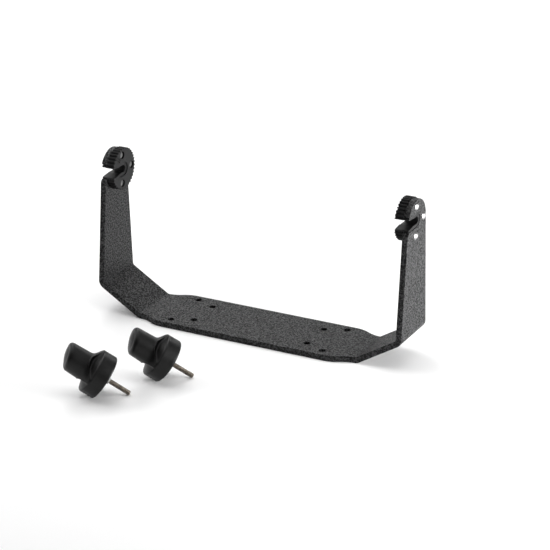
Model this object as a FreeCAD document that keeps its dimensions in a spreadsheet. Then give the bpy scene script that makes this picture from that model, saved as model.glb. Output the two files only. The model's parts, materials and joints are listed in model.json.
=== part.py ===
import FreeCAD, Part
import math
import os
import re
import Sketcher

# Tilting bail bracket of a chart plotter, with its two clamp knobs taken off and lying beside it.
# Millimetres. +Z is up, +X runs along the base, -Y is the side that the hook mouths open to.
# The origin is the centre of the base's underside.

Vector = FreeCAD.Vector
X_AXIS, Y_AXIS, Z_AXIS = Vector(1, 0, 0), Vector(0, 1, 0), Vector(0, 0, 1)

doc = FreeCAD.newDocument("BailBracket")
sheet = doc.addObject("Spreadsheet::Sheet", "Sizes")

SIZES = [
    # bent plate
    ("inner_span", 340.0, "between the inner faces of the two arms"),
    ("base_run", 252.5, "base between its two inner bend lines"),
    ("plate_gauge", 6.4, "thickness of the plate"),
    ("arm_root_height", 33.1, "underside to the inner bend line at the foot of an arm"),
    ("pivot_height", 153.6, "underside to the tilt axis"),
    ("base_width", 80.8, "width of the base"),
    ("arm_root_width", 62.4, "width of an arm at its foot"),
    ("flare_run", 31.0, "length of the curve between the arm's width and the base's"),
    ("head_radius", 21.8, "rounded top of an arm"),
    ("bend_radius", 3.0, "inside radius of the four bends"),
    ("rim_round", 0.7, "softened rim of the cut plate"),
    ("slot_width", 14.6, "hook slot of the plate"),
    ("upper_lip_round", 2.0, "plate's upper lip at the mouth"),
    ("lower_lip_round", 5.0, "plate's lower lip at the mouth"),
    # fixing holes of the base
    ("bolt_hole_diameter", 7.4, "eight holes of the base"),
    ("outer_bolt_run", 177.2, "outer rectangle of holes, along X"),
    ("outer_bolt_width", 60.6, "outer rectangle of holes, along Y"),
    ("inner_bolt_run", 133.0, "inner rectangle of holes, along X"),
    ("inner_bolt_width", 41.0, "inner rectangle of holes, along Y"),
    # index plates
    ("index_thickness", 9.0, "toothed disc"),
    ("tooth_tip_radius", 22.8, "over the tips of the teeth"),
    ("tooth_depth", 1.7, "tip to root"),
    ("tooth_count", 36, "teeth round the full circle"),
    ("stud_slot_width", 7.8, "slot that the knob's collar slides into"),
    ("mouth_width", 10.8, "slot where it opens to the front"),
    ("mouth_start", 8.0, "from the tilt axis to where the slot starts to widen"),
    ("land_width", 15.4, "shallow land round the end of the slot"),
    ("land_depth", 0.9, "depth of that land"),
    ("land_reach", 9.0, "from the tilt axis to the land's open end"),
    ("collar_recess", 0.8, "collar's end below the plate's outer face"),
    ("collar_clearance", 0.1, "between the collar and the plate's slot"),
    ("collar_setback", 1.2, "collar's front inside the arm's rounded head"),
    ("upper_tip_round", 1.0, "index plate's upper lip"),
    ("lower_tip_round", 2.5, "index plate's lower lip"),
    ("guide_length", 12.0, "two slanted guide grooves above the mouth"),
    ("guide_gap", 0.9, "between the land and the nearer groove"),
    ("guide_width", 1.3, "one guide groove"),
    ("guide_depth", 0.6, "one guide groove"),
    ("guide_pitch", 2.8, "between the two grooves"),
    ("guide_slope", 36.0, "angle of the grooves"),
    # rivets
    ("rivet_circle_radius", 15.8, "rivets about the tilt axis"),
    ("rivet_spread", 100.0, "angle from the back rivet to each of the others"),
    ("rivet_diameter", 4.8, "shank"),
    ("rivet_clearance", 0.1, "round the shank"),
    ("rivet_head_diameter", 8.4, "domed head"),
    ("rivet_head_height", 1.9, "domed head"),
    ("rivet_tail_diameter", 6.8, "set end"),
    ("rivet_tail_height", 1.1, "set end"),
    ("rivet_sink_diameter", 8.2, "counterbore for the set end"),
    ("rivet_sink_depth", 2.6, "counterbore for the set end"),
    # knobs
    ("flange_radius", 23.3, "knob's flange at its face"),
    ("flange_back_radius", 23.1, "knob's flange at its back"),
    ("flange_thickness", 15.3, "face to the back edge of the flange"),
    ("handle_root_radius", 14.4, "grip where it leaves the flange"),
    ("handle_end_radius", 13.7, "grip at its end"),
    ("knob_length", 44.4, "face to the end of the grip"),
    ("shoulder_run", 4.8, "cone between the flange and the grip"),
    ("waist_round", 3.0, "fillet between the grip and the shoulder"),
    ("shoulder_round", 2.0, "rounded back edge of the flange"),
    ("handle_end_round", 4.0, "rounded end of the grip"),
    ("flange_round", 1.6, "rounded rim of the flange"),
    ("cover_wall", 3.2, "soft cover over the core"),
    ("core_flange_thickness", 9.0, "core inside the flange"),
    ("core_stem_length", 25.0, "face to the end of the core"),
    ("core_stem_radius", 8.5, "core inside the grip"),
    ("core_clearance", 0.1, "between the core and its cover"),
    ("stud_diameter", 5.0, "screw over its thread"),
    ("shank_diameter", 4.5, "plain shank between the head and the thread"),
    ("thread_gap", 0.7, "between the bush's end and the thread"),
    ("stud_reach", 29.4, "screw beyond the knob's face"),
    ("stud_point", 0.6, "chamfer at the screw's end"),
    ("hex_across_flats", 8.0, "screw head"),
    ("hex_height", 3.5, "screw head"),
    ("hex_seat", 16.0, "knob's face to the underside of the screw head"),
    ("hex_clearance", 0.05, "between the screw and the core, all round"),
    ("bush_flange_diameter", 13.0, "flange of the shoulder bush"),
    ("bush_flange_thickness", 1.2, "flange of the shoulder bush"),
    ("bush_diameter", 7.0, "sleeve of the shoulder bush"),
    ("bush_length", 5.3, "shoulder bush beyond the knob's face"),
    ("bush_running_clearance", 0.06, "between the bush and the screw"),
    ("bush_end_gap", 0.1, "between the bush's flange and the knob's face"),
    # where the two loose knobs lie
    ("front_knob_x", -58.6, "centre of the knob's face"),
    ("front_knob_y", -215.5, "centre of the knob's face"),
    ("front_knob_heading", 29.3, "screw's direction from +X towards +Y"),
    ("rear_knob_x", -22.8, "centre of the knob's face"),
    ("rear_knob_y", -151.9, "centre of the knob's face"),
    ("rear_knob_heading", 33.5, "screw's direction from +X towards +Y"),
]
for row, (alias, value, note) in enumerate(SIZES, start=1):
    sheet.set("A%d" % row, alias)
    sheet.set("B%d" % row, str(value))
    sheet.set("C%d" % row, note)
    sheet.setAlias("B%d" % row, alias)
doc.recompute()
SIZE_NAMES = {alias for alias, _, _ in SIZES}


def of_sheet(expression):
    """Turn the size names in an expression into cells of the sheet."""
    def cell(match):
        word = match.group(0)
        return "Sizes." + word if word in SIZE_NAMES else word
    return re.sub("[a-z_]+", cell, expression)


def value_of(expression):
    return float(sheet.evalExpression(of_sheet(expression)))


def drive(sketch, kind, geometry, expression):
    """Give a sketch a dimension that follows an expression of the sheet."""
    index = sketch.addConstraint(Sketcher.Constraint(kind, *geometry, value_of(expression)))
    sketch.setExpression("Constraints[%d]" % index, of_sheet(expression))


def place_point(sketch, element, end, across, upward):
    """Fix one end of an element at two expressions, measured from the sketch's origin."""
    for kind, expression in (("DistanceX", across), ("DistanceY", upward)):
        if value_of(expression) < 0.0:
            drive(sketch, kind, (element, end, -1, 1), "-(%s)" % expression)
        else:
            drive(sketch, kind, (-1, 1, element, end), expression)


def new_sketch(body, name, role, lift=None):
    """Start a sketch on one of the body's own origin planes, or lifted off it."""
    plane = next(f for f in body.Origin.OriginFeatures if f.Role == role)
    sketch = body.newObject("Sketcher::SketchObject", name)
    sketch.AttachmentSupport = [(plane, "")]
    sketch.MapMode = "FlatFace"
    if lift is not None:
        sketch.setExpression("AttachmentOffset.Base.z", of_sheet(lift))
    return sketch


def draw_arc(start, end, radius, centre_on_left):
    """Arc of less than half a turn. It starts at `start` only when its centre is on the left."""
    chord = end - start
    normal = Vector(-chord.y, chord.x, 0).normalize()
    rise = math.sqrt(max(radius ** 2 - chord.Length ** 2 / 4.0, 0.0))
    centre = (start + end) * 0.5 + normal * (rise if centre_on_left else -rise)
    first, last = (start, end) if centre_on_left else (end, start)
    from_angle = math.atan2(first.y - centre.y, first.x - centre.x)
    to_angle = math.atan2(last.y - centre.y, last.x - centre.x)
    if to_angle <= from_angle:
        to_angle += 2.0 * math.pi
    return Part.ArcOfCircle(Part.Circle(centre, Z_AXIS, radius), from_angle, to_angle)


def draw_outline(sketch, corners):
    """Draw a closed outline. A corner is (across, upward), or (across, upward, side, radius)
    where the edge that leaves it is an arc whose centre lies on that side of the way on."""
    points = [Vector(value_of(corner[0]), value_of(corner[1]), 0) for corner in corners]
    edges = []
    for i, corner in enumerate(corners):
        start, end = points[i], points[(i + 1) % len(points)]
        if len(corner) == 2:
            edges.append((sketch.addGeometry(Part.LineSegment(start, end)), 1, 2))
            continue
        on_left = corner[2] == "left"
        element = sketch.addGeometry(draw_arc(start, end, value_of(corner[3]), on_left))
        edges.append((element, 1, 2) if on_left else (element, 2, 1))
    for i, (element, first, last) in enumerate(edges):
        following, following_first, _ = edges[(i + 1) % len(edges)]
        joint = Sketcher.Constraint("Coincident", element, last, following, following_first)
        sketch.addConstraint(joint)
        place_point(sketch, element, first, corners[i][0], corners[i][1])
        if len(corners[i]) == 4:
            drive(sketch, "Radius", (element,), corners[i][3])
    return sketch


def mirrored(corners, across_sign, upward_sign):
    """The same outline on the other side of one or both of the sketch's axes."""
    flips = across_sign * upward_sign < 0
    other = {"left": "right", "right": "left"}
    result = []
    for corner in corners:
        place = ("(%d)*(%s)" % (across_sign, corner[0]), "(%d)*(%s)" % (upward_sign, corner[1]))
        if len(corner) == 4:
            place += (other[corner[2]] if flips else corner[2], corner[3])
        result.append(place)
    return result


def draw_circle(sketch, across, upward, diameter):
    centre = Vector(value_of(across), value_of(upward), 0)
    element = sketch.addGeometry(Part.Circle(centre, Z_AXIS, value_of(diameter) / 2.0))
    place_point(sketch, element, 3, across, upward)
    drive(sketch, "Diameter", (element,), diameter)


def draw_hexagon(sketch, across_flats):
    """Regular hexagon about the sketch's origin."""
    corner_radius = "(%s) / 2 / cos(30 deg)" % across_flats
    turns = ["%d deg" % (60 * i) for i in range(6)]
    return draw_outline(sketch, [
        ("%s * cos(%s)" % (corner_radius, turn), "%s * sin(%s)" % (corner_radius, turn))
        for turn in turns])


def finish_feature(body, feature):
    body.Tip = feature
    doc.recompute()
    if "Invalid" in feature.State or "Error" in feature.State:
        raise RuntimeError("%s failed in %s" % (feature.Name, body.Label))
    return feature


def pad(body, name, sketch, length, both_sides=False, backwards=False):
    feature = body.newObject("PartDesign::Pad", name)
    feature.Profile = sketch
    feature.SideType = "Symmetric" if both_sides else "One side"
    feature.Reversed = backwards
    feature.setExpression("Length", of_sheet(length))
    return finish_feature(body, feature)


def pocket(body, name, sketch, depth=None, backwards=False):
    """Cut a sketch to a depth, or right through on both of its sides when none is given."""
    before = body.Shape.Volume
    feature = body.newObject("PartDesign::Pocket", name)
    feature.Profile = sketch
    feature.Reversed = backwards
    if depth is None:
        feature.SideType = "Symmetric"
        feature.Type = "ThroughAll"
    else:
        feature.setExpression("Length", of_sheet(depth))
    finish_feature(body, feature)
    if not body.Shape.Volume < before:
        raise RuntimeError("%s cuts nothing from %s" % (name, body.Label))
    return feature


def revolve(body, name, sketch):
    """Turn a profile on the XZ plane once round the body's own X axis."""
    feature = body.newObject("PartDesign::Revolution", name)
    feature.Profile = sketch
    feature.ReferenceAxis = (sketch, ["H_Axis"])
    feature.Angle = 360.0
    return finish_feature(body, feature)


def round_edges(body, name, radius, wanted):
    """Fillet those edges of the body so far that a test picks."""
    base = body.Tip
    names = ["Edge%d" % i for i, edge in enumerate(base.Shape.Edges, start=1) if wanted(edge)]
    if not names:
        raise RuntimeError("%s finds no edge in %s" % (name, body.Label))
    feature = body.newObject("PartDesign::Fillet", name)
    feature.Base = (base, names)
    feature.setExpression("Radius", of_sheet(radius))
    return finish_feature(body, feature)


def near(value, target):
    return abs(value - target) < 0.02


def runs_along(edge, direction):
    is_line = edge.Curve.TypeId == "Part::GeomLine"
    return is_line and abs(edge.Curve.Direction.dot(direction)) > 0.999


# Expressions that several sub-parts share
RIVETS = (("back", "0"), ("top", "rivet_spread"), ("bottom", "-rivet_spread"))


def rivet_place(angle):
    """A rivet's place about the tilt axis: towards +Y, and up."""
    across = "rivet_circle_radius * cos((%s) * 1 deg)" % angle
    upward = "rivet_circle_radius * sin((%s) * 1 deg)" % angle
    return across, upward


# ---------------------------------------------------------------- bracket

HEAD_TANGENT = ("(atan((arm_root_height - pivot_height) / (arm_root_width / 2))"
                " + acos(head_radius / sqrt((arm_root_width / 2)^2"
                " + (pivot_height - arm_root_height)^2)))")


def make_bracket():
    """One strip of plate, bent four times, its outline, slots and holes cut to shape."""
    body = doc.addObject("PartDesign::Body", "bracket")
    body.Label = "bracket"

    slope = "atan((arm_root_height - plate_gauge) / ((inner_span - base_run) / 2))"
    low_corner = "base_run / 2 + plate_gauge * tan(%s / 2)" % slope
    high_corner = "arm_root_height - plate_gauge * tan((90 deg - %s) / 2)" % slope
    strip_top = "pivot_height + head_radius + plate_gauge"
    right_half = [
        (low_corner, "0"),
        ("inner_span / 2 + plate_gauge", high_corner),
        ("inner_span / 2 + plate_gauge", strip_top),
        ("inner_span / 2", strip_top),
        ("inner_span / 2", "arm_root_height"),
        ("base_run / 2", "plate_gauge"),
    ]
    left_half = mirrored(right_half, -1, 1)[::-1]
    profile = new_sketch(body, "strip_profile", "XZ_Plane")
    pad(body, "strip", draw_outline(profile, right_half + left_half), "base_width", both_sides=True)

    def bend_lines(places):
        spots = [(value_of(across), value_of(upward)) for across, upward in places]

        def wanted(edge):
            centre = edge.CenterOfMass
            at_spot = any(near(abs(centre.x), x) and near(centre.z, z) for x, z in spots)
            return at_spot and runs_along(edge, Y_AXIS)
        return wanted

    inner_lines, outer_lines = (right_half[4], right_half[5]), (right_half[0], right_half[1])
    round_edges(body, "inner_bends", "bend_radius", bend_lines(inner_lines))
    round_edges(body, "outer_bends", "bend_radius + plate_gauge", bend_lines(outer_lines))

    step = "((base_width - arm_root_width) / 2)"
    curve_radius = "((flare_run^2 + %s^2) / (4 * %s))" % (step, step)
    waste = [
        ("base_run / 2 - flare_run", "base_width / 2", "right", curve_radius),
        ("(base_run - flare_run) / 2", "(base_width + arm_root_width) / 4", "left", curve_radius),
        ("base_run / 2", "arm_root_width / 2"),
        ("inner_span", "arm_root_width / 2"),
        ("inner_span", "base_width"),
        ("base_run / 2 - flare_run", "base_width"),
    ]
    flares = new_sketch(body, "flare_outline", "XY_Plane")
    for across_sign in (1, -1):
        for upward_sign in (1, -1):
            draw_outline(flares, mirrored(waste, across_sign, upward_sign))
    pocket(body, "flares", flares)

    shoulder = ("head_radius * cos(%s)" % HEAD_TANGENT,
                "pivot_height + head_radius * sin(%s)" % HEAD_TANGENT)
    foot = ("arm_root_width / 2", "arm_root_height")
    outside = ("base_width", "arm_root_height")
    above = ("base_width", strip_top + " + plate_gauge")
    arm_outline = [
        foot,
        shoulder + ("left", "head_radius"),
        ("0", "pivot_height + head_radius", "left", "head_radius"),
        mirrored([shoulder], -1, 1)[0],
        mirrored([foot], -1, 1)[0],
        mirrored([outside], -1, 1)[0],
        mirrored([above], -1, 1)[0],
        above,
        outside,
    ]
    pocket(body, "arm_taper", draw_outline(new_sketch(body, "arm_outline", "YZ_Plane"), arm_outline))

    slot = [
        ("-base_width", "pivot_height + slot_width / 2"),
        ("0", "pivot_height + slot_width / 2", "right", "slot_width / 2"),
        ("slot_width / 2", "pivot_height", "right", "slot_width / 2"),
        ("0", "pivot_height - slot_width / 2"),
        ("-base_width", "pivot_height - slot_width / 2"),
    ]
    pocket(body, "hook_slots", draw_outline(new_sketch(body, "slot_outline", "YZ_Plane"), slot))
    for lip, sign in (("upper_lip", 1), ("lower_lip", -1)):
        height = value_of("pivot_height + (%d) * slot_width / 2" % sign)

        def at_mouth(edge):
            centre = edge.CenterOfMass
            in_front = centre.y < -value_of("slot_width / 2")
            return in_front and near(centre.z, height) and runs_along(edge, X_AXIS)
        round_edges(body, lip, lip + "_round", at_mouth)

    rivet_holes = new_sketch(body, "rivet_hole_places", "YZ_Plane")
    for _, angle in RIVETS:
        across, upward = rivet_place(angle)
        draw_circle(rivet_holes, across, "pivot_height + " + upward,
                    "rivet_diameter + 2 * rivet_clearance")
    pocket(body, "rivet_holes", rivet_holes)

    bolt_holes = new_sketch(body, "bolt_hole_places", "XY_Plane")
    for run, width in (("outer_bolt_run", "outer_bolt_width"), ("inner_bolt_run", "inner_bolt_width")):
        for across_sign in (1, -1):
            for upward_sign in (1, -1):
                draw_circle(bolt_holes, "(%d) * %s / 2" % (across_sign, run),
                            "(%d) * %s / 2" % (upward_sign, width), "bolt_hole_diameter")
    pocket(body, "bolt_holes", bolt_holes)

    gauge = value_of("plate_gauge")

    def on_rim(edge):
        """The long edges of the cut rim: no bend line, hole or edge across the thickness."""
        if runs_along(edge, Y_AXIS) or near(edge.Length, gauge):
            return False
        is_hole = edge.Closed
        across = runs_along(edge, X_AXIS) and edge.CenterOfMass.z > value_of("arm_root_height")
        return not is_hole and not across
    round_edges(body, "softened_rim", "rim_round", on_rim)
    return body


# ---------------------------------------------------------------- index plates

def make_index_plate(label, inward):
    """Moulded toothed disc on the arm's inner face; a collar of it lines the plate's slot.
    Its own origin is the tilt axis on the arm's inner face; `inward` is 1 or -1 along X."""
    body = doc.addObject("PartDesign::Body", label)
    body.Label = label
    backwards = inward < 0
    inner_face = "(%d) * index_thickness" % inward

    disc = new_sketch(body, "disc_outline", "YZ_Plane")
    draw_circle(disc, "0", "0", "2 * tooth_tip_radius")
    pad(body, "disc", disc, "index_thickness", backwards=backwards)

    collar_radius = "(slot_width / 2 - collar_clearance)"
    front_radius = "(head_radius - collar_setback)"
    collar_front = "-sqrt(%s^2 - %s^2)" % (front_radius, collar_radius)
    collar = [
        (collar_front, collar_radius),
        ("0", collar_radius, "right", collar_radius),
        (collar_radius, "0", "right", collar_radius),
        ("0", "-" + collar_radius),
        (collar_front, "-" + collar_radius, "right", front_radius),
    ]
    pad(body, "collar", draw_outline(new_sketch(body, "collar_outline", "YZ_Plane"), collar),
        "plate_gauge - collar_recess", backwards=not backwards)

    groove = new_sketch(body, "tooth_gap_outline", "YZ_Plane")
    half_gap = "tooth_tip_radius * tan(150 deg / tooth_count)"
    draw_outline(groove, [
        ("0", "tooth_tip_radius - tooth_depth"),
        (half_gap, "tooth_tip_radius"),
        (half_gap, "tooth_tip_radius + tooth_depth"),
        ("-" + half_gap, "tooth_tip_radius + tooth_depth"),
        ("-" + half_gap, "tooth_tip_radius"),
    ])
    gap = pocket(body, "tooth_gap", groove)
    one_gap = body.Shape.Volume
    teeth = body.newObject("PartDesign::PolarPattern", "teeth")
    teeth.Originals = [gap]
    teeth.Axis = (next(f for f in body.Origin.OriginFeatures if f.Role == "X_Axis"), [""])
    teeth.Angle = 360.0
    teeth.setExpression("Occurrences", of_sheet("tooth_count"))
    finish_feature(body, teeth)
    if not body.Shape.Volume < one_gap:
        raise RuntimeError("the teeth of %s are not repeated" % label)

    def lip(sign, rounding):
        """Start of the lip's round, and where it runs out on the circle of the tips."""
        reach = "sqrt((tooth_tip_radius - %s)^2 - (mouth_width / 2 + %s)^2)" % (rounding, rounding)
        scale = "(tooth_tip_radius / (tooth_tip_radius - %s))" % rounding
        start = ("-" + reach, "(%d) * mouth_width / 2" % sign)
        end = ("-%s * %s" % (scale, reach), "(%d) * %s * (mouth_width / 2 + %s)" % (sign, scale, rounding))
        return start, end

    upper_start, upper_end = lip(1, "upper_tip_round")
    lower_start, lower_end = lip(-1, "lower_tip_round")
    mouth = [
        ("0", "stud_slot_width / 2", "right", "stud_slot_width / 2"),
        ("stud_slot_width / 2", "0", "right", "stud_slot_width / 2"),
        ("0", "-stud_slot_width / 2"),
        ("-mouth_start", "-stud_slot_width / 2"),
        lower_start + ("left", "lower_tip_round"),
        lower_end,
        ("-2 * tooth_tip_radius", lower_end[1]),
        ("-2 * tooth_tip_radius", upper_end[1]),
        upper_end + ("left", "upper_tip_round"),
        upper_start,
        ("-mouth_start", "stud_slot_width / 2"),
    ]
    pocket(body, "mouth", draw_outline(new_sketch(body, "mouth_outline", "YZ_Plane"), mouth))

    land = [
        ("-land_reach", "land_width / 2"),
        ("0", "land_width / 2", "right", "land_width / 2"),
        ("land_width / 2", "0", "right", "land_width / 2"),
        ("0", "-land_width / 2"),
        ("-land_reach", "-land_width / 2"),
    ]
    pocket(body, "land", draw_outline(new_sketch(body, "land_outline", "YZ_Plane", inner_face), land),
           "land_depth", backwards=backwards)

    guides = new_sketch(body, "guide_outline", "YZ_Plane", inner_face)
    for number in (0, 1):
        offset = "(%d * guide_pitch + %s)"
        corners = []
        for along, side in (("0", "0"), ("guide_length", "0"),
                            ("guide_length", "guide_width"), ("0", "guide_width")):
            over = offset % (number, side)
            across = "-land_reach - %s * cos(guide_slope * 1 deg) + %s * sin(guide_slope * 1 deg)"
            upward = ("land_width / 2 + guide_gap + %s * sin(guide_slope * 1 deg)"
                      " + %s * cos(guide_slope * 1 deg)")
            corners.append((across % (along, over), upward % (along, over)))
        draw_outline(guides, corners)
    pocket(body, "guides", guides, "guide_depth", backwards=backwards)

    for name, lift, diameter, depth in (
            ("rivet_holes", None, "rivet_diameter + 2 * rivet_clearance", None),
            ("rivet_sinks", inner_face, "rivet_sink_diameter", "rivet_sink_depth")):
        places = new_sketch(body, name + "_places", "YZ_Plane", lift)
        for _, angle in RIVETS:
            draw_circle(places, *rivet_place(angle), diameter)
        pocket(body, name, places, depth, backwards=backwards and depth is not None)
    body.Placement.Base = Vector(-inward * value_of("inner_span / 2"), 0, value_of("pivot_height"))
    return body


# ---------------------------------------------------------------- rivets

def make_rivet(label, side, angle):
    """Domed rivet from an arm's outer face to its set end, sunk in the index plate.
    Its own origin is under the head; +X points out of the head."""
    body = doc.addObject("PartDesign::Body", label)
    body.Label = label
    grip = "(plate_gauge + index_thickness - rivet_sink_depth)"
    dome_radius = "((rivet_head_diameter / 2)^2 + rivet_head_height^2) / (2 * rivet_head_height)"
    profile = draw_outline(new_sketch(body, "rivet_profile", "XZ_Plane"), [
        ("-(%s + rivet_tail_height)" % grip, "0"),
        ("-(%s + rivet_tail_height)" % grip, "rivet_tail_diameter / 2"),
        ("-" + grip, "rivet_tail_diameter / 2"),
        ("-" + grip, "rivet_diameter / 2"),
        ("0", "rivet_diameter / 2"),
        ("0", "rivet_head_diameter / 2", "right", dome_radius),
        ("rivet_head_height", "0"),
    ])
    revolve(body, "rivet", profile)
    across, upward = rivet_place(angle)
    base = Vector(side * value_of("inner_span / 2 + plate_gauge"), value_of(across),
                  value_of("pivot_height + " + upward))
    turn = FreeCAD.Rotation(Z_AXIS, 0 if side > 0 else 180)
    body.Placement = FreeCAD.Placement(base, turn)
    return body


# ---------------------------------------------------------------- clamp knobs
# Every piece of a knob has its own origin at the centre of the knob's face, with +X along the
# screw, away from the grip. A loose knob rests on its flange's rim and on the screw's end.

def knob_placement(where):
    rim, lift = value_of("flange_radius - flange_round - stud_diameter / 2"), value_of("flange_round")
    reach = value_of("stud_reach - stud_point + flange_round")
    tilt = math.atan2(rim, reach) + math.asin(lift / math.hypot(rim, reach))
    height = (value_of("flange_radius - flange_round") * math.cos(tilt)
              + lift * (1.0 - math.sin(tilt)))
    face = Vector(value_of(where + "_x"), value_of(where + "_y"), height)
    turn = FreeCAD.Rotation(value_of(where + "_heading"), math.degrees(tilt), 0)
    return FreeCAD.Placement(face, turn)


def make_grip_cover(label):
    """Soft moulded cover: flange, shoulder and grip in one, hollow for the core."""
    body = doc.addObject("PartDesign::Body", label)
    body.Label = label
    outline = draw_outline(new_sketch(body, "cover_profile", "XZ_Plane"), [
        ("0", "0"),
        ("0", "flange_radius"),
        ("-flange_thickness", "flange_back_radius"),
        ("-(flange_thickness + shoulder_run)", "handle_root_radius"),
        ("-knob_length", "handle_end_radius"),
        ("-knob_length", "0"),
    ])
    revolve(body, "cover", outline)

    def ring(across, radius):
        def wanted(edge):
            if edge.Curve.TypeId != "Part::GeomCircle":
                return False
            return near(edge.Curve.Center.x, value_of(across)) and near(edge.Curve.Radius, value_of(radius))
        return wanted

    round_edges(body, "waist", "waist_round",
                ring("-(flange_thickness + shoulder_run)", "handle_root_radius"))
    round_edges(body, "shoulder", "shoulder_round", ring("-flange_thickness", "flange_back_radius"))
    round_edges(body, "flange_rim", "flange_round", ring("0", "flange_radius"))
    round_edges(body, "grip_end", "handle_end_round", ring("-knob_length", "handle_end_radius"))

    flange_space = new_sketch(body, "flange_space_outline", "YZ_Plane")
    draw_circle(flange_space, "0", "0", "2 * (flange_radius - cover_wall + core_clearance)")
    pocket(body, "flange_space", flange_space, "core_flange_thickness + core_clearance")
    stem_space = new_sketch(body, "stem_space_outline", "YZ_Plane")
    draw_circle(stem_space, "0", "0", "2 * (core_stem_radius + core_clearance)")
    pocket(body, "stem_space", stem_space, "core_stem_length + core_clearance")
    return body


def make_core(label):
    """Hard moulded core: a wide flange and a stem with the hexagon that holds the screw's head."""
    body = doc.addObject("PartDesign::Body", label)
    body.Label = label
    bore_radius = "shank_diameter / 2 + hex_clearance"
    revolve(body, "core", draw_outline(new_sketch(body, "core_profile", "XZ_Plane"), [
        ("0", bore_radius),
        ("0", "flange_radius - cover_wall"),
        ("-core_flange_thickness", "flange_radius - cover_wall"),
        ("-core_flange_thickness", "core_stem_radius"),
        ("-core_stem_length", "core_stem_radius"),
        ("-core_stem_length", bore_radius),
    ]))
    hexagon = new_sketch(body, "hex_outline", "YZ_Plane", "-hex_seat")
    draw_hexagon(hexagon, "hex_across_flats + 2 * hex_clearance")
    pocket(body, "hex_socket", hexagon, "core_stem_length")
    return body


def make_screw(label):
    """Hexagon-head screw with a plain shank; the thread is its plain outer diameter."""
    body = doc.addObject("PartDesign::Body", label)
    body.Label = label
    revolve(body, "shank", draw_outline(new_sketch(body, "shank_profile", "XZ_Plane"), [
        ("-(hex_seat + hex_height)", "0"),
        ("-(hex_seat + hex_height)", "shank_diameter / 2"),
        ("bush_length + thread_gap", "shank_diameter / 2"),
        ("bush_length + thread_gap", "stud_diameter / 2"),
        ("stud_reach - stud_point", "stud_diameter / 2"),
        ("stud_reach", "stud_diameter / 2 - stud_point"),
        ("stud_reach", "0"),
    ]))
    hexagon = new_sketch(body, "head_outline", "YZ_Plane", "-(hex_seat + hex_height)")
    pad(body, "head", draw_hexagon(hexagon, "hex_across_flats"), "hex_height")
    return body


def make_bush(label):
    """Flanged shoulder bush that runs freely on the screw and slides into the hook slot."""
    body = doc.addObject("PartDesign::Body", label)
    body.Label = label
    bore_radius = "stud_diameter / 2 + bush_running_clearance"
    revolve(body, "bush", draw_outline(new_sketch(body, "bush_profile", "XZ_Plane"), [
        ("bush_end_gap", bore_radius),
        ("bush_end_gap", "bush_flange_diameter / 2"),
        ("bush_end_gap + bush_flange_thickness", "bush_flange_diameter / 2"),
        ("bush_end_gap + bush_flange_thickness", "bush_diameter / 2"),
        ("bush_length", "bush_diameter / 2"),
        ("bush_length", bore_radius),
    ]))
    return body


# ---------------------------------------------------------------- assembly

parts = [make_bracket()]
for side_name, side in (("left", -1), ("right", 1)):
    parts.append(make_index_plate(side_name + "_index_plate", -side))
    for rivet_name, rivet_angle in RIVETS:
        parts.append(make_rivet("%s_rivet_%s" % (side_name, rivet_name), side, rivet_angle))
for knob in ("front_knob", "rear_knob"):
    pieces = [make_grip_cover(knob + "_grip_cover"), make_core(knob + "_core"),
              make_screw(knob + "_screw"), make_bush(knob + "_shoulder_bush")]
    for piece in pieces:
        piece.Placement = knob_placement(knob)
    parts.extend(pieces)

doc.recompute()
for thing in doc.Objects:
    if "Invalid" in thing.State or "Error" in thing.State:
        raise RuntimeError("%s is not valid: %s" % (thing.Name, thing.State))
for part in parts:
    if part.Shape.isNull() or not part.Shape.isValid() or len(part.Shape.Solids) != 1:
        raise RuntimeError("%s has no single valid solid" % part.Label)

os.makedirs("parts", exist_ok=True)
for part in parts:
    part.Shape.exportStep("parts/%s.step" % part.Label)
    box = part.Shape.BoundBox
    print("%-26s %9.0f mm3  x %7.1f %7.1f  y %7.1f %7.1f  z %6.2f %6.2f" % (
        part.Label, part.Shape.Volume, box.XMin, box.XMax, box.YMin, box.YMax, box.ZMin, box.ZMax))
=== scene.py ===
import json
import math

import bpy
import numpy as np
from mathutils import Matrix, Vector


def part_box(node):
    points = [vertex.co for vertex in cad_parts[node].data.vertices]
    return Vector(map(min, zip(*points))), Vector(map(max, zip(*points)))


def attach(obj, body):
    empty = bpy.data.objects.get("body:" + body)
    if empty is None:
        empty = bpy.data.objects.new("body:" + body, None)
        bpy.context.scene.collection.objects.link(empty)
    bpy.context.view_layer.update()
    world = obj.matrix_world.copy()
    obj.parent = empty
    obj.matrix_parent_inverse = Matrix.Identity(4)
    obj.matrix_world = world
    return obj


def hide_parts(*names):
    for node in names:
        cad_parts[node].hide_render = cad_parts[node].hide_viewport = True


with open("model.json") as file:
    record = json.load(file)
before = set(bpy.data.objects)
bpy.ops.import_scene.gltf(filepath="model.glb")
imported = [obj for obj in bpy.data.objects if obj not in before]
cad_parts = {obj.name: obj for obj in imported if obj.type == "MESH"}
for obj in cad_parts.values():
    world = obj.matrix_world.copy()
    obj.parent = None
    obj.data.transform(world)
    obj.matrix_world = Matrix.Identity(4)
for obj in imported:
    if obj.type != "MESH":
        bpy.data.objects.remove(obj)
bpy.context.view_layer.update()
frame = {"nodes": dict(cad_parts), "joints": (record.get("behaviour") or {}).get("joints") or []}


# ---------------------------------------------------------------- bent plate
# One strip of aluminium plate, cut to outline, drilled, slotted, and folded twice at each end
# into a U. It is blasted and then powder coated black all over, with a coarse wrinkle texture.

MM = 0.001
COAT_GRAIN = 1.7 * MM
COAT_FINE_GRAIN = 0.8 * MM
COAT_PATCH = 38 * MM
COAT_RELIEF = 0.50 * MM
# Valley and crest colours follow the relief: painted shade in the valleys, painted light on the crests.
COAT_VALLEY_PAINTED_SHADE = (0.0030, 0.0030, 0.0032, 1.0)
COAT_CREST_PAINTED_LIGHT = (0.022, 0.0222, 0.0232, 1.0)


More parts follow.
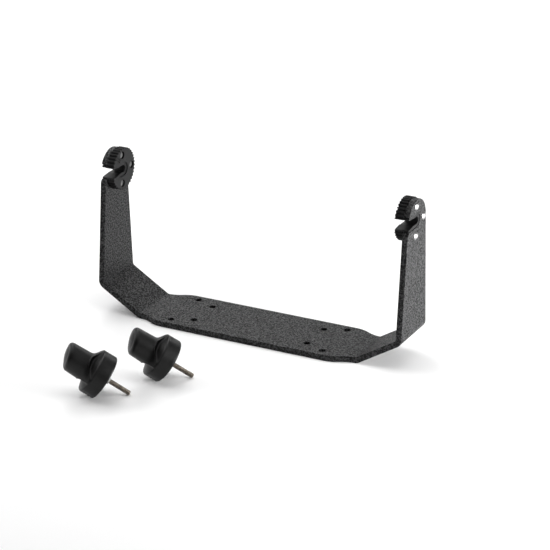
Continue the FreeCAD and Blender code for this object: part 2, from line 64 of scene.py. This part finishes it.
def new_material(name):
    """A material with an empty finish: its principled shader and its node and link lists."""
    material = bpy.data.materials.new(name)
    material.use_nodes = True
    nodes = material.node_tree.nodes
    return material, nodes["Principled BSDF"], nodes, material.node_tree.links


def grain(nodes, links, size, detail=2.0, roughness=0.55):
    """Noise in the piece's own space, with features about `size` metres across."""
    place = nodes.new("ShaderNodeTexCoord")
    noise = nodes.new("ShaderNodeTexNoise")
    noise.inputs["Scale"].default_value = 1.0 / size
    noise.inputs["Detail"].default_value = detail
    noise.inputs["Roughness"].default_value = roughness
    links.new(place.outputs["Object"], noise.inputs["Vector"])
    return noise.outputs["Fac"]


def ramp(nodes, links, source, stops):
    """Colours or shares laid along a grey value, as (place, colour) stops."""
    node = nodes.new("ShaderNodeValToRGB")
    elements = node.color_ramp.elements
    while len(elements) < len(stops):
        elements.new(0.5)
    for element, (place, colour) in zip(elements, stops):
        element.position = place
        element.color = colour
    links.new(source, node.inputs["Fac"])
    return node.outputs["Color"]


def grey(value):
    return (value, value, value, 1.0)


def raised(nodes, links, height, depth, strength=1.0, below=None):
    """Relief of a coat or a moulded skin, `depth` metres from valley to crest."""
    bump = nodes.new("ShaderNodeBump")
    bump.inputs["Strength"].default_value = strength
    bump.inputs["Distance"].default_value = depth
    links.new(height, bump.inputs["Height"])
    if below is not None:
        links.new(below, bump.inputs["Normal"])
    return bump.outputs["Normal"]


def mixed(nodes, links, share, first, second, blend="MIX"):
    """Two colours mixed by a share, which may be a number or a node's output."""
    mix = nodes.new("ShaderNodeMix")
    mix.data_type = "RGBA"
    mix.blend_type = blend
    for socket, value in (("Factor", share), ("A", first), ("B", second)):
        wanted = [s for s in mix.inputs if s.name == socket and s.enabled][0]
        if isinstance(value, bpy.types.NodeSocket):
            links.new(value, wanted)
        else:
            wanted.default_value = value
    return [s for s in mix.outputs if s.enabled][0]


def wrinkle_coat():
    """Black wrinkle powder coat: matt valleys, slightly glossier pebbled crests, with painted shade in
    the valleys and painted light on the crests.
    """
    material, shader, nodes, links = new_material("wrinkle_powder_coat")
    pebbles = grain(nodes, links, COAT_GRAIN, detail=1.0)
    fine = grain(nodes, links, COAT_FINE_GRAIN, detail=2.0)
    broad = grain(nodes, links, COAT_PATCH, detail=2.0)
    # The colour follows the relief's height: the valleys are painted dark as shade and the crests painted
    # light.
    crests = ramp(nodes, links, pebbles, [(0.42, grey(0.0)), (0.64, grey(1.0))])
    specks = ramp(nodes, links, fine, [(0.45, grey(0.0)), (0.75, grey(1.0))])
    tone = mixed(nodes, links, crests, COAT_VALLEY_PAINTED_SHADE, COAT_CREST_PAINTED_LIGHT)
    tone = mixed(nodes, links, 0.25, tone, specks, "OVERLAY")
    shade = ramp(nodes, links, broad, [(0.3, grey(0.90)), (0.7, grey(1.0))])
    links.new(mixed(nodes, links, 1.0, tone, shade, "MULTIPLY"), shader.inputs["Base Color"])
    roughness = ramp(nodes, links, pebbles, [(0.35, grey(0.62)), (0.7, grey(0.44))])
    links.new(roughness, shader.inputs["Roughness"])
    shine = ramp(nodes, links, pebbles, [(0.40, grey(0.12)), (0.66, grey(0.48))])
    links.new(shine, shader.inputs["Specular IOR Level"])
    low = raised(nodes, links, fine, COAT_RELIEF / 3)
    links.new(raised(nodes, links, pebbles, COAT_RELIEF, below=low), shader.inputs["Normal"])
    return material


def finish_node(name, material):
    """Give a CAD piece its finish."""
    piece = frame["nodes"][name]
    if not piece.material_slots:
        piece.data.materials.append(material)
    for held in piece.material_slots:
        held.material = material


powder_coat = wrinkle_coat()
finish_node("bracket", powder_coat)


# ---------------------------------------------------------------- index plates
# A toothed disc inside the head of each arm. It is moulded in glass-filled black nylon, and its
# collar lines the arm's hook slot. The teeth mesh with a like disc on the display's housing.

NYLON = (0.0070, 0.0070, 0.0074, 1.0)
NYLON_RUBBED = (0.0130, 0.0131, 0.0137, 1.0)
NYLON_SKIN = 0.30 * MM
NYLON_FLOW = 6 * MM
NYLON_RELIEF = 0.03 * MM


def moulded_nylon():
    """Satin black nylon with a spark-eroded skin and faint flow marks."""
    material, shader, nodes, links = new_material("moulded_nylon")
    skin = grain(nodes, links, NYLON_SKIN, detail=3.0)
    flow = grain(nodes, links, NYLON_FLOW, detail=3.0, roughness=0.65)
    rubbed = ramp(nodes, links, flow, [(0.42, grey(0.0)), (0.72, grey(1.0))])
    links.new(mixed(nodes, links, rubbed, NYLON, NYLON_RUBBED), shader.inputs["Base Color"])
    links.new(ramp(nodes, links, flow, [(0.3, grey(0.40)), (0.7, grey(0.52))]),
              shader.inputs["Roughness"])
    shader.inputs["Specular IOR Level"].default_value = 0.14
    links.new(raised(nodes, links, skin, NYLON_RELIEF), shader.inputs["Normal"])
    return material


nylon = moulded_nylon()
for side in ("left", "right"):
    finish_node(side + "_index_plate", nylon)


# ---------------------------------------------------------------- rivets
# Three domed rivets hold each index plate to its arm. They are bright stainless steel; their heads
# are on the arm's outer face, and their tails are set in counterbores in the index plate. The set
# ends are coloured darker than the heads, as painted shade of the counterbores.

RIVET_SHANK = 4.8 * MM
RIVET_HEAD = (8.4 * MM, 1.9 * MM)
RIVET_TAIL = (6.8 * MM, 1.1 * MM)
RIVET_TAIL_RIM = 0.35 * MM
RIVET_HAZE = 0.9 * MM
HEAD_FINISH = (0.46, 0.26)
# The set ends' lower brightness is painted shade of their counterbores; their higher roughness is the
# punch's dulling.
SET_END_SHADED_FINISH = (0.17, 0.42)
ROUND_STEPS = 6
TURN_STEPS = 64


def softened(corners, closed=False):
    """Outline through corners (out, along, rounding), with each rounding drawn as an arc."""
    points = []
    count = len(corners)
    for i, corner in enumerate(corners):
        here, rounding = Vector(corner[:2]), corner[2]
        if rounding <= 0.0 or (not closed and i in (0, count - 1)):
            points.append(here)
            continue
        back = (Vector(corners[i - 1][:2]) - here).normalized()
        on = (Vector(corners[(i + 1) % count][:2]) - here).normalized()
        half = back.angle(on) / 2
        centre = here + (back + on).normalized() * (rounding / math.sin(half))
        reach = rounding / math.tan(half)
        first, last = here + back * reach - centre, here + on * reach - centre
        for step in range(ROUND_STEPS + 1):
            share = step / ROUND_STEPS
            points.append(centre + first.normalized().slerp(last.normalized(), share) * rounding)
    return points


def skinned(name, rings, closed=False):
    """Mesh over rings of points, each ring a list round the axis, or one point at a pole."""
    corners, starts, faces = [], [], []
    for ring in rings:
        starts.append(len(corners))
        corners.extend(ring)
    pairs = list(zip(range(len(rings) - 1), range(1, len(rings))))
    if closed:
        pairs.append((len(rings) - 1, 0))
    for low, high in pairs:
        below, above = len(rings[low]), len(rings[high])
        for i in range(max(below, above)):
            a, b = starts[low] + i % below, starts[low] + (i + 1) % below
            c, d = starts[high] + (i + 1) % above, starts[high] + i % above
            if below == 1:
                faces.append((a, c, d))
            elif above == 1:
                faces.append((a, b, c))
            else:
                faces.append((a, b, c, d))
    mesh = bpy.data.meshes.new(name)
    mesh.from_pydata([tuple(p) for p in corners], [], faces)
    mesh.validate()
    mesh.shade_smooth()
    piece = bpy.data.objects.new(name, mesh)
    bpy.context.scene.collection.objects.link(piece)
    return piece


def turned(name, outline, closed=False):
    """Piece turned about +Z from an outline of (out, along) points."""
    rings = []
    for out, along in outline:
        if out <= 1e-9:
            rings.append([(0.0, 0.0, along)])
            continue
        rings.append([(out * math.cos(turn), out * math.sin(turn), along)
                      for turn in np.linspace(0.0, 2 * math.pi, TURN_STEPS, endpoint=False)])
    return skinned(name, rings, closed)


def settle(piece, place, body, node, material):
    """Put a piece in its place, give it its finish, and let it stand for its CAD node."""
    piece.data.transform(place)
    piece.data.materials.append(material)
    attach(piece, body)
    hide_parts(node)
    return piece


def along_axis(base, axis, across):
    """Place with local +Z along `axis` and local +X along `across`, at `base`."""
    forward = Vector(axis).normalized()
    sideways = Vector(across).normalized()
    upward = forward.cross(sideways)
    place = Matrix((sideways, upward, forward)).transposed().to_4x4()
    place.translation = base
    return place


def rivet_steel(name, brightness, roughness):
    """Stainless steel with a little haze. The set ends are rougher from the punch, and their darker
    colour is painted shade of the counterbores.
    """
    material, shader, nodes, links = new_material(name)
    shader.inputs["Metallic"].default_value = 1.0
    haze = grain(nodes, links, RIVET_HAZE, detail=3.0)
    links.new(ramp(nodes, links, haze, [(0.3, grey(0.85 * brightness)), (0.7, grey(brightness))]),
              shader.inputs["Base Color"])
    links.new(ramp(nodes, links, haze, [(0.3, grey(roughness)), (0.7, grey(roughness + 0.12))]),
              shader.inputs["Roughness"])
    links.new(raised(nodes, links, haze, 0.012 * MM), shader.inputs["Normal"])
    return material


def rivet_outline(length):
    """Half section of a set rivet, tail at nought and head's crown at `length`."""
    tail_radius, tail_height = RIVET_TAIL[0] / 2, RIVET_TAIL[1]
    head_radius, head_height = RIVET_HEAD[0] / 2, RIVET_HEAD[1]
    seat = length - head_height
    dome = (head_radius ** 2 + head_height ** 2) / (2 * head_height)
    outline = softened([
        (0.0, 0.0, 0.0),
        (tail_radius, 0.0, RIVET_TAIL_RIM),
        (tail_radius, tail_height, RIVET_TAIL_RIM),
        (RIVET_SHANK / 2, tail_height, 0.0),
        (RIVET_SHANK / 2, seat, 0.0),
        (head_radius, seat, 0.0),
    ])
    rim = math.asin(head_radius / dome)
    for lean in np.linspace(rim, 0.0, 3 * ROUND_STEPS)[1:]:
        outline.append((dome * math.sin(lean), length - dome + dome * math.cos(lean)))
    return outline


bright_steel = rivet_steel("rivet_steel", *HEAD_FINISH)
set_end_shaded_steel = rivet_steel("rivet_steel_set_end_painted_shade", *SET_END_SHADED_FINISH)
for side, outward in (("left", -1), ("right", 1)):
    for spot in ("back", "top", "bottom"):
        node = "%s_rivet_%s" % (side, spot)
        low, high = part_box(node)
        tail_x = high.x if outward < 0 else low.x
        base = Vector((tail_x, (low.y + high.y) / 2, (low.z + high.z) / 2))
        rivet = turned(side + "_domed_rivet_" + spot, rivet_outline(high.x - low.x))
        # Faces near the tail take the set-end steel, which is coloured darker as painted shade of the
        # counterbore.
        for face in rivet.data.polygons:
            face.material_index = 1 if face.center.z < 2 * RIVET_TAIL[1] else 0
        settle(rivet, along_axis(base, (outward, 0, 0), (0, 1, 0)), "bracket", node,
               bright_steel)
        rivet.data.materials.append(set_end_shaded_steel)


# ---------------------------------------------------------------- knob screws
# A hexagon-head screw is the middle of each clamp knob. It is rolled in stainless steel, and its
# head sits in the knob's core, so that the knob turns it. The thread enters the display's side.

SCREW_RADIUS = 2.5 * MM
SCREW_REACH = 29.4 * MM
SCREW_POINT = 0.6 * MM
SCREW_STEPS = 48
THREAD_PITCH = 0.8 * MM
THREAD_DEPTH = 0.42 * MM
THREAD_FLANK = 2.6
THREAD_ROWS = 10
THREAD_START = 6.0 * MM
SHANK_RADIUS = 2.25 * MM
HEX_ACROSS = 8.0 * MM
HEX_SEAT = 16.0 * MM
HEX_HEIGHT = 3.5 * MM
HEX_CHAMFER = 0.35 * MM
KNOBS = ("front_knob", "rear_knob")


def screw_steel():
    """Stainless steel, warm where the rolled thread has kept a film of anti-seize wax."""
    material, shader, nodes, links = new_material("screw_steel")
    shader.inputs["Metallic"].default_value = 1.0
    film = grain(nodes, links, 2.2 * MM, detail=4.0, roughness=0.6)
    stops = [(0.32, (0.115, 0.096, 0.078, 1.0)), (0.68, (0.30, 0.265, 0.225, 1.0))]
    links.new(ramp(nodes, links, film, stops), shader.inputs["Base Color"])
    links.new(ramp(nodes, links, film, [(0.3, grey(0.42)), (0.7, grey(0.28))]),
              shader.inputs["Roughness"])
    return material


def hexagon_radius(turn, across):
    """Distance from the axis to a hexagon's side, in the direction `turn`."""
    sixth = math.pi / 3
    return across / 2 / math.cos((turn + sixth / 2) % sixth - sixth / 2)


def thread_radius(turn, along):
    """Distance from the axis to the rolled thread, from the shank to the chamfered point."""
    phase = (along / THREAD_PITCH - turn / (2 * math.pi)) % 1.0
    valley = min(1.0, THREAD_FLANK * min(phase, 1.0 - phase))
    run_out = min(1.0, (along - THREAD_START) / THREAD_PITCH)
    taper = max(0.0, along - (SCREW_REACH - SCREW_POINT))
    rolled = SCREW_RADIUS - THREAD_DEPTH * (1.0 - valley)
    return min(SHANK_RADIUS + (rolled - SHANK_RADIUS) * run_out, SCREW_RADIUS - taper)


def screw_mesh(name):
    """Screw along +Z with the knob's face at nought."""
    turns = np.linspace(0.0, 2 * math.pi, SCREW_STEPS, endpoint=False)
    top = -(HEX_SEAT + HEX_HEIGHT)
    rings = [[(0.0, 0.0, top)]]

    def ring(radius_at, along):
        rings.append([(radius_at(t) * math.cos(t), radius_at(t) * math.sin(t), along) for t in turns])

    ring(lambda t: HEX_ACROSS / 2 - HEX_CHAMFER, top)
    ring(lambda t: min(hexagon_radius(t, HEX_ACROSS), HEX_ACROSS / 2), top + HEX_CHAMFER * 0.2)
    ring(lambda t: hexagon_radius(t, HEX_ACROSS), top + HEX_CHAMFER)
    ring(lambda t: hexagon_radius(t, HEX_ACROSS), -HEX_SEAT)
    ring(lambda t: SHANK_RADIUS, -HEX_SEAT)
    ring(lambda t: SHANK_RADIUS, THREAD_START)
    rows = round((SCREW_REACH - THREAD_START) / THREAD_PITCH) * THREAD_ROWS
    for along in np.linspace(THREAD_START, SCREW_REACH, rows + 1)[1:]:
        ring(lambda t: thread_radius(t, along), along)
    rings.append([(0.0, 0.0, SCREW_REACH)])
    return skinned(name, rings)


def knob_place(knob):
    """Place of a knob: its face's centre, its screw along +Z, and level sideways along +X."""
    joint = [j for j in frame["joints"] if j["name"] == knob + "_turn"][0]
    axis = Vector(joint["axis"])
    return along_axis(Vector(joint["pos_m"]), axis, Vector((0, 0, 1)).cross(axis))


stud_steel = screw_steel()
for knob in KNOBS:
    settle(screw_mesh(knob + "_threaded_screw"), knob_place(knob), knob, knob + "_screw",
           stud_steel)


# ---------------------------------------------------------------- knob cores
# The hard middle of a knob, moulded in black nylon over the screw's head. Its wide flange backs
# the soft cover and shows as a plain disc in the knob's face.

CORE_SKIN = 0.5 * MM
CORE_CLOUD = 9 * MM


def core_nylon():
    """Hard black nylon, a little glossier than the cover."""
    material, shader, nodes, links = new_material("core_nylon")
    skin = grain(nodes, links, CORE_SKIN, detail=3.0)
    cloud = grain(nodes, links, CORE_CLOUD)
    links.new(ramp(nodes, links, cloud, [(0.35, grey(0.016)), (0.7, grey(0.024))]),
              shader.inputs["Base Color"])
    links.new(ramp(nodes, links, skin, [(0.3, grey(0.38)), (0.7, grey(0.50))]),
              shader.inputs["Roughness"])
    links.new(raised(nodes, links, skin, NYLON_RELIEF), shader.inputs["Normal"])
    return material


core_finish = core_nylon()
for knob in KNOBS:
    finish_node(knob + "_core", core_finish)


# ---------------------------------------------------------------- soft covers
# The soft part of a knob that the hand holds: flange, web and grip in one, moulded in matt black
# thermoplastic rubber over the core. Three finger dishes are sunk where the grip meets the flange.

FLANGE_RADIUS = 23.3 * MM
FLANGE_BACK_RADIUS = 23.1 * MM
FLANGE_THICKNESS = 15.3 * MM
GRIP_END_RADIUS = 13.7 * MM
GRIP_ROOT_RADIUS = 14.4 * MM
KNOB_LENGTH = 44.4 * MM
WEB_START = 25.0 * MM
COVER_WALL = 3.2 * MM
CORE_GAP = 0.1 * MM
CORE_FLANGE = 9.0 * MM
CORE_STEM = (8.5 * MM, 25.0 * MM)
END_ROUND = 4.0 * MM
END_CROWN = 1.8 * MM
END_LEAN = math.radians(16.0)
END_LEAN_TURN = math.radians(74.0)
LEAN_START = 31.0 * MM
RIM_ROUND = 1.6 * MM
SHOULDER_ROUND = 1.8 * MM
DISHES = 3
DISH_TURN = math.radians(10.0)
DISH_HALF = math.radians(43.0)
DISH_CENTRE = 19.6 * MM
DISH_FLOOR = 12.9 * MM
DISH_SLOPES = (1.2, 3.4)
DISH_SOFTNESS = 2.0 * MM
DISH_LIFT = 5.3 * MM
DISH_SHIFT = 2.5 * MM
LIP_SOFTNESS = 0.30 * MM
LIP_WIDTH = 1.1 * MM
LIP_HEIGHT = 0.35 * MM
LIP_FADE = (15.5 * MM, 18.5 * MM)
DISH_START = 11.0 * MM
COVER_STEPS = 180
CROWN_RINGS = 9
RUBBER_SKIN = 0.35 * MM
RUBBER_MARKS = 11 * MM


def smaller(first, second, softness):
    """The smaller of two lengths, blended where they are nearly equal."""
    share = max(0.0, 1.0 - abs(first - second) / softness)
    return min(first, second) - share * share * softness / 4


def web_radius(depth):
    """Grip, then the web that swells to the flange's back edge; depth is behind the face."""
    if depth >= WEB_START:
        share = (depth - WEB_START) / (KNOB_LENGTH - WEB_START)
        return GRIP_ROOT_RADIUS + (GRIP_END_RADIUS - GRIP_ROOT_RADIUS) * share
    share = (WEB_START - depth) / (WEB_START - FLANGE_THICKNESS)
    return GRIP_ROOT_RADIUS + (FLANGE_BACK_RADIUS - GRIP_ROOT_RADIUS) * share ** 2


def dish_radius(depth, turn):
    """Floor of the finger dishes, which rises and moves to the flange at each dish's ends."""
    pitch = 2 * math.pi / DISHES
    away = abs((turn - DISH_TURN + pitch / 2) % pitch - pitch / 2) / DISH_HALF
    rise = away ** 3
    run = DISH_CENTRE - DISH_SHIFT * rise - depth
    fall, climb = DISH_SLOPES
    bend = math.hypot(run, DISH_SOFTNESS) - DISH_SOFTNESS
    return DISH_FLOOR + DISH_LIFT * rise + (climb - fall) / 2 * run + (climb + fall) / 2 * bend


def flange_radius(depth):
    """Rim of the flange, which tapers to its back and is rounded at the knob's face."""
    radius = FLANGE_RADIUS - (FLANGE_RADIUS - FLANGE_BACK_RADIUS) * depth / FLANGE_THICKNESS
    if depth < RIM_ROUND:
        radius -= RIM_ROUND - math.sqrt(max(0.0, RIM_ROUND ** 2 - (RIM_ROUND - depth) ** 2))
    return radius


def cover_radius(depth, turn):
    """Outside of the cover, with a raised lip where a finger dish leaves the grip."""
    web, dish = web_radius(depth), dish_radius(depth, turn)
    near = max(0.0, 1.0 - abs(web - dish) / LIP_WIDTH)
    fade = min(1.0, max(0.0, (depth - LIP_FADE[0]) / (LIP_FADE[1] - LIP_FADE[0])))
    skin = smaller(web, dish, LIP_SOFTNESS) + LIP_HEIGHT * fade * near * near * (3 - 2 * near)
    radius = smaller(skin, flange_radius(depth), SHOULDER_ROUND)
    left = KNOB_LENGTH - depth
    if left < END_ROUND:
        radius -= END_ROUND - math.sqrt(max(0.0, END_ROUND ** 2 - (END_ROUND - left) ** 2))
    return radius


def cover_point(depth, turn):
    """Point of the cover's skin. The grip's end leans a little, and its face is crowned."""
    out = cover_radius(depth, turn)
    share = max(0.0, (depth - LEAN_START) / (KNOB_LENGTH - LEAN_START))
    reach = math.tan(END_LEAN) * share * out * math.cos(turn - END_LEAN_TURN)
    return (out * math.cos(turn), out * math.sin(turn), -(depth + reach))


def cover_depths():
    """Depths of the rings, close together in the roundings and the dishes."""
    rim = [RIM_ROUND * (1 - math.cos(a)) for a in np.linspace(0.0, math.pi / 2, 8)]
    flange = list(np.linspace(RIM_ROUND, DISH_START, 7)[1:])
    dishes = list(np.linspace(DISH_START, WEB_START, 61)[1:])
    grip = list(np.linspace(WEB_START, KNOB_LENGTH - END_ROUND, 10)[1:])
    end = [KNOB_LENGTH - END_ROUND * (1 - math.sin(a)) for a in np.linspace(0.0, math.pi / 2, 13)[1:]]
    return rim + flange + dishes + grip + end


def cover_mesh(name):
    """Cover from its crown over the skin to the face, then round the core's room to its end."""
    turns = np.linspace(0.0, 2 * math.pi, COVER_STEPS, endpoint=False)
    flange_room, (stem_radius, stem_length) = FLANGE_RADIUS - COVER_WALL + CORE_GAP, CORE_STEM
    rings = [[cover_point(depth, t) for t in turns] for depth in cover_depths()]
    end = [Vector(point) for point in rings[-1]]
    middle = Vector((0.0, 0.0, -KNOB_LENGTH))
    for share in np.linspace(1.0, 0.0, CROWN_RINGS)[1:-1]:
        crown = Vector((0.0, 0.0, END_CROWN * (1 - share * share)))
        rings.append([middle.lerp(point, share) - crown for point in end])
    rings.append([middle - Vector((0.0, 0.0, END_CROWN))])
    rings.reverse()
    for out, depth in ((flange_room, 0.0), (flange_room, CORE_FLANGE + CORE_GAP),
                       (stem_radius + CORE_GAP, CORE_FLANGE + CORE_GAP),
                       (stem_radius + CORE_GAP, stem_length + CORE_GAP)):
        rings.append([(out * math.cos(t), out * math.sin(t), -depth) for t in turns])
    rings.append([(0.0, 0.0, -(stem_length + CORE_GAP))])
    return skinned(name, rings)


def soft_rubber():
    """Black soft-touch rubber: a satin, faintly velvety skin with handling marks."""
    material, shader, nodes, links = new_material("soft_touch_rubber")
    skin = grain(nodes, links, RUBBER_SKIN, detail=3.0)
    handled = grain(nodes, links, RUBBER_MARKS, detail=3.0, roughness=0.6)
    links.new(ramp(nodes, links, handled, [(0.35, grey(0.0030)), (0.7, grey(0.0048))]),
              shader.inputs["Base Color"])
    links.new(ramp(nodes, links, handled, [(0.3, grey(0.36)), (0.7, grey(0.44))]),
              shader.inputs["Roughness"])
    shader.inputs["Specular IOR Level"].default_value = 0.22
    shader.inputs["Sheen Weight"].default_value = 0.02
    shader.inputs["Sheen Roughness"].default_value = 0.5
    links.new(raised(nodes, links, skin, 0.02 * MM), shader.inputs["Normal"])
    return material


rubber = soft_rubber()
for knob in KNOBS:
    settle(cover_mesh(knob + "_soft_cover"), knob_place(knob), knob, knob + "_grip_cover",
           rubber)


# ---------------------------------------------------------------- shoulder bushes
# A flanged bush turns freely on each screw against the knob's face. It is turned from pale grey
# acetal, and it is what slides into the hook slot, so that the knob can clamp without rubbing.

BUSH_BORE = 2.56 * MM
BUSH_FLANGE = (6.5 * MM, 1.2 * MM)
BUSH_SLEEVE = (3.5 * MM, 5.3 * MM)
BUSH_GAP = 0.1 * MM
BUSH_ROUND = 0.2 * MM
ACETAL_CLOUD = 1.6 * MM


def acetal():
    """Pale grey acetal, satin and slightly translucent at its edges."""
    material, shader, nodes, links = new_material("grey_acetal")
    cloud = grain(nodes, links, ACETAL_CLOUD, detail=2.0)
    stops = [(0.3, (0.24, 0.235, 0.22, 1.0)), (0.7, (0.33, 0.32, 0.31, 1.0))]
    links.new(ramp(nodes, links, cloud, stops), shader.inputs["Base Color"])
    links.new(ramp(nodes, links, cloud, [(0.3, grey(0.34)), (0.7, grey(0.46))]),
              shader.inputs["Roughness"])
    shader.inputs["Subsurface Weight"].default_value = 0.1
    shader.inputs["Subsurface Scale"].default_value = 1.0 * MM
    links.new(raised(nodes, links, cloud, 0.01 * MM), shader.inputs["Normal"])
    return material


bush_finish = acetal()
(flange_out, flange_end), (sleeve_out, sleeve_end) = BUSH_FLANGE, BUSH_SLEEVE
for knob in KNOBS:
    bush = turned(knob + "_collar_bush", softened([
        (BUSH_BORE, BUSH_GAP, BUSH_ROUND),
        (flange_out, BUSH_GAP, BUSH_ROUND),
        (flange_out, BUSH_GAP + flange_end, BUSH_ROUND),
        (sleeve_out, BUSH_GAP + flange_end, BUSH_ROUND),
        (sleeve_out, sleeve_end, 2 * BUSH_ROUND),
        (BUSH_BORE, sleeve_end, BUSH_ROUND),
    ], closed=True), closed=True)
    settle(bush, knob_place(knob), knob + "_bush", knob + "_shoulder_bush",
           bush_finish)


# ---------------------------------------------------------------- floor, light and camera
# A plain white floor with soft boxes round it, as in a catalogue studio: a bright ceiling and two
# boxes overhead, one low on the right for the arm's outer face, one at the left, and one over the
# floor behind.

FLOOR_HALF = 12.0
FLOOR_WHITE = 0.90
WORLD_GLOW = 0.03
SENSOR_WIDTH = 36.0
CAMERA_PLACE = (0.9562, -1.8659, 0.8920)
CAMERA_TURN = (26.676, 21.585, 0.448)
CAMERA_LENS = 141.62


def floor():
    """Pale matt floor that the object stands on."""
    mesh = bpy.data.meshes.new("floor")
    corners = [(x * FLOOR_HALF, y * FLOOR_HALF, 0) for x, y in ((-1, -1), (1, -1), (1, 1), (-1, 1))]
    mesh.from_pydata(corners, [], [(0, 1, 2, 3)])
    sheet = bpy.data.objects.new("floor", mesh)
    bpy.context.scene.collection.objects.link(sheet)
    material, shader, nodes, links = new_material("floor_paint")
    shader.inputs["Base Color"].default_value = grey(FLOOR_WHITE)
    shader.inputs["Roughness"].default_value = 0.9
    shader.inputs["Specular IOR Level"].default_value = 0.1
    mesh.materials.append(material)


def soft_box(name, place, aim, width, height, power):
    """Rectangular soft light that faces the point `aim`."""
    data = bpy.data.lights.new(name, "AREA")
    data.shape = "RECTANGLE"
    data.size, data.size_y = width, height
    data.energy = power
    lamp = bpy.data.objects.new(name, data)
    lamp.matrix_world = (Matrix.Translation(place)
                         @ (Vector(aim) - Vector(place)).to_track_quat("-Z", "Y").to_matrix().to_4x4())
    bpy.context.scene.collection.objects.link(lamp)


floor()
soft_box("room_box", (0.0, -0.4, 5.0), (0.0, -0.4, 0.0), 8.0, 8.0, 130.0)
soft_box("top_box", (0.0, -0.1, 1.5), (0.0, -0.1, 0.0), 1.2, 1.0, 4.5)
soft_box("key_box", (-0.60, 0.50, 1.10), (0.0, 0.0, 0.0), 0.6, 0.6, 6.0)
soft_box("side_box", (0.85, 0.06, 0.12), (0.17, 0.0, 0.10), 0.6, 0.2, 16.5)
soft_box("back_box", (-0.8, 2.0, 1.00), (-0.8, 1.9, 0.0), 2.6, 1.2, 30.0)
soft_box("left_box", (-1.2, -0.3, 0.8), (0.0, -0.1, 0.05), 0.9, 0.9, 10.0)

world = bpy.data.worlds.new("studio")
world.use_nodes = True
world.node_tree.nodes["Background"].inputs["Color"].default_value = (1.0, 1.0, 1.0, 1.0)
world.node_tree.nodes["Background"].inputs["Strength"].default_value = WORLD_GLOW
bpy.context.scene.world = world
bpy.context.scene.view_settings.view_transform = "Standard"

azimuth, elevation, roll = (math.radians(angle) for angle in CAMERA_TURN)
camera_data = bpy.data.cameras.new("camera")
camera_data.sensor_width = SENSOR_WIDTH
camera_data.lens = CAMERA_LENS
camera_data.clip_start, camera_data.clip_end = 0.1, 100.0
camera = bpy.data.objects.new("camera", camera_data)
camera.matrix_world = (Matrix.Translation(CAMERA_PLACE) @ Matrix.Rotation(azimuth, 4, "Z")
                       @ Matrix.Rotation(math.pi / 2 - elevation, 4, "X") @ Matrix.Rotation(roll, 4, "Z"))
bpy.context.scene.collection.objects.link(camera)
bpy.context.scene.camera = camera
